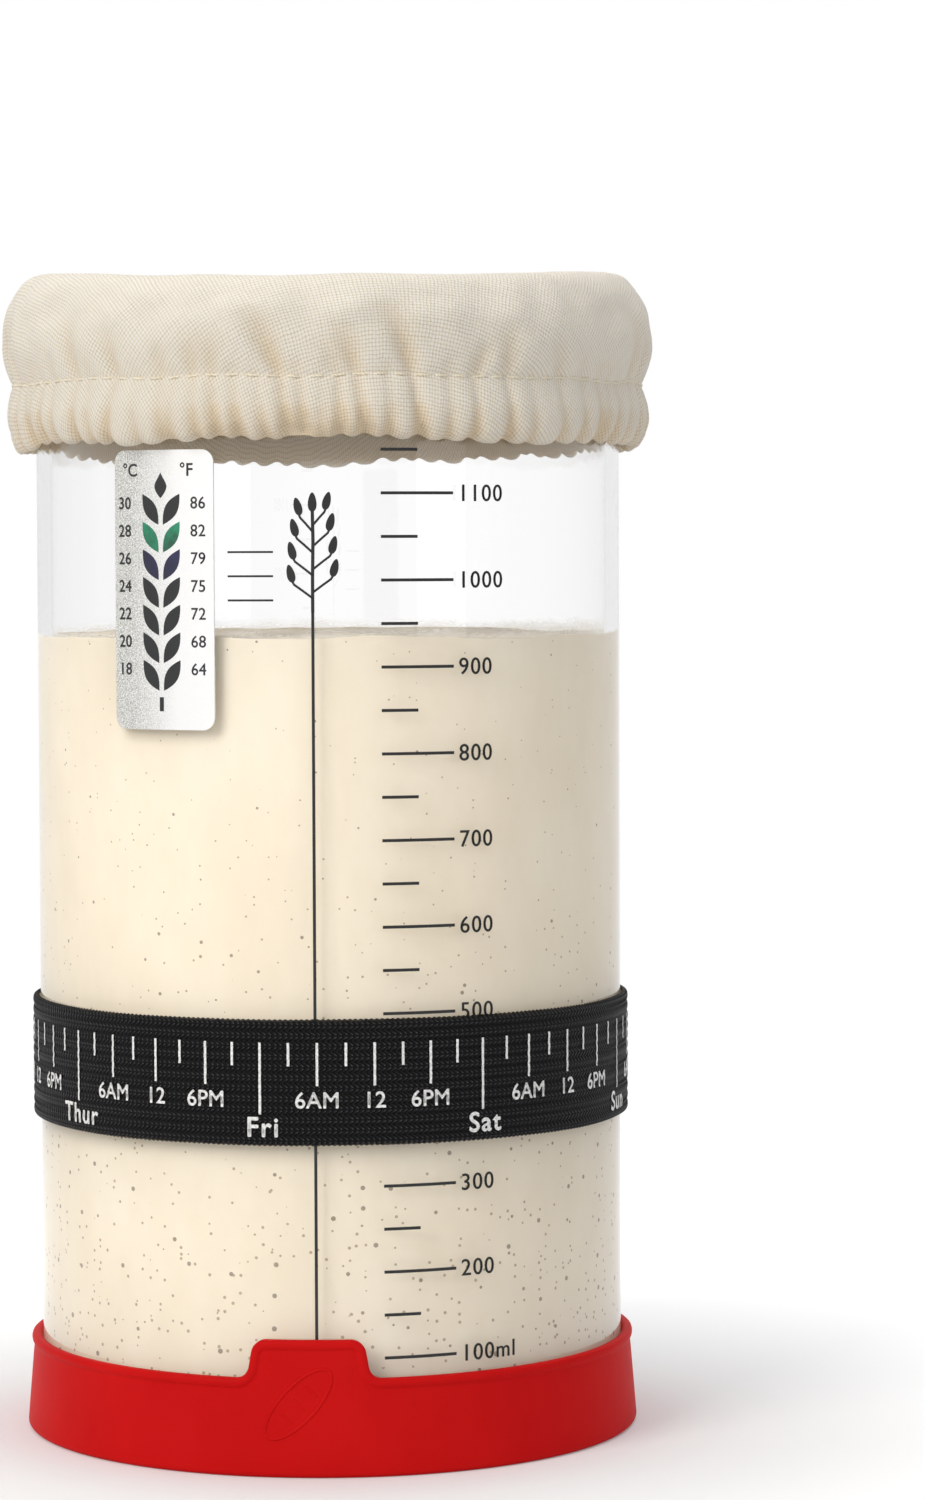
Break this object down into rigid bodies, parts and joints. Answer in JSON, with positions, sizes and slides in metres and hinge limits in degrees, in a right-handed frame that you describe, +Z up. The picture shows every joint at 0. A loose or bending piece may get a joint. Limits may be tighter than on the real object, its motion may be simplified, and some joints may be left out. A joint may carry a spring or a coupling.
{
  "type": "sourdough starter jar",
  "caption": "Straight glass jar of starter in a red silicone boot, with a gathered cloth cover, a knitted time-marker band, a volume scale and a stick-on thermometer.",
  "frame": {"origin": "centre of the boot's underside, where the jar stands", "axes": "+Z up along the jar's axis; -Y is the front, with the level line and the boot's tab; +X is to the right seen from the front"},
  "size_m": [0.1108, 0.1097, 0.1969],
  "materials": {
    "silicone": "satin moulded silicone",
    "jar_glass": "clear borosilicate, fire polished",
    "starter": "moist flour batter with fine speckles",
    "fired_ink": "fired black print",
    "adhesive": "clear acrylic adhesive",
    "metallised_card": "brushed metallised film",
    "crystal_ink": "thermochromic liquid crystal on black",
    "latex": "natural latex strand",
    "webbing": "knitted elastic webbing with white print",
    "cotton": "unbleached plain weave cotton linen",
    "elastic": "braided elastic"
  },
  "bodies": {
    "boot": {"silicone_boot": "silicone"},
    "jar": {"glass_jar": "jar_glass", "sourdough_starter": "starter", "volume_scale": "fired_ink", "level_line": "fired_ink", "thermometer_adhesive": "adhesive", "thermometer_card": "metallised_card", "thermometer_cells": "crystal_ink"},
    "band_core": {"band_strands": "latex"},
    "band": {"band_webbing": "webbing"},
    "cover": {"cloth_cover": "cotton", "cover_elastic": "elastic"}
  },
  "joints": [
    {"name": "jar_lift", "type": "slide", "parent": "boot", "child": "jar", "axis": [0, 0, 1], "range_m": [0, 0.03]},
    {"name": "band_slide", "type": "slide", "parent": "jar", "child": "band_core", "axis": [0, 0, 1], "range_m": [-0.031, 0.046]},
    {"name": "band_turn", "type": "hinge", "parent": "band_core", "child": "band", "pos_m": [0, 0, 0.0642], "axis": [0, 0, 1], "continuous": true},
    {"name": "cover_lift", "type": "slide", "parent": "jar", "child": "cover", "axis": [0, 0, 1], "range_m": [0, 0.06]}
  ]
}
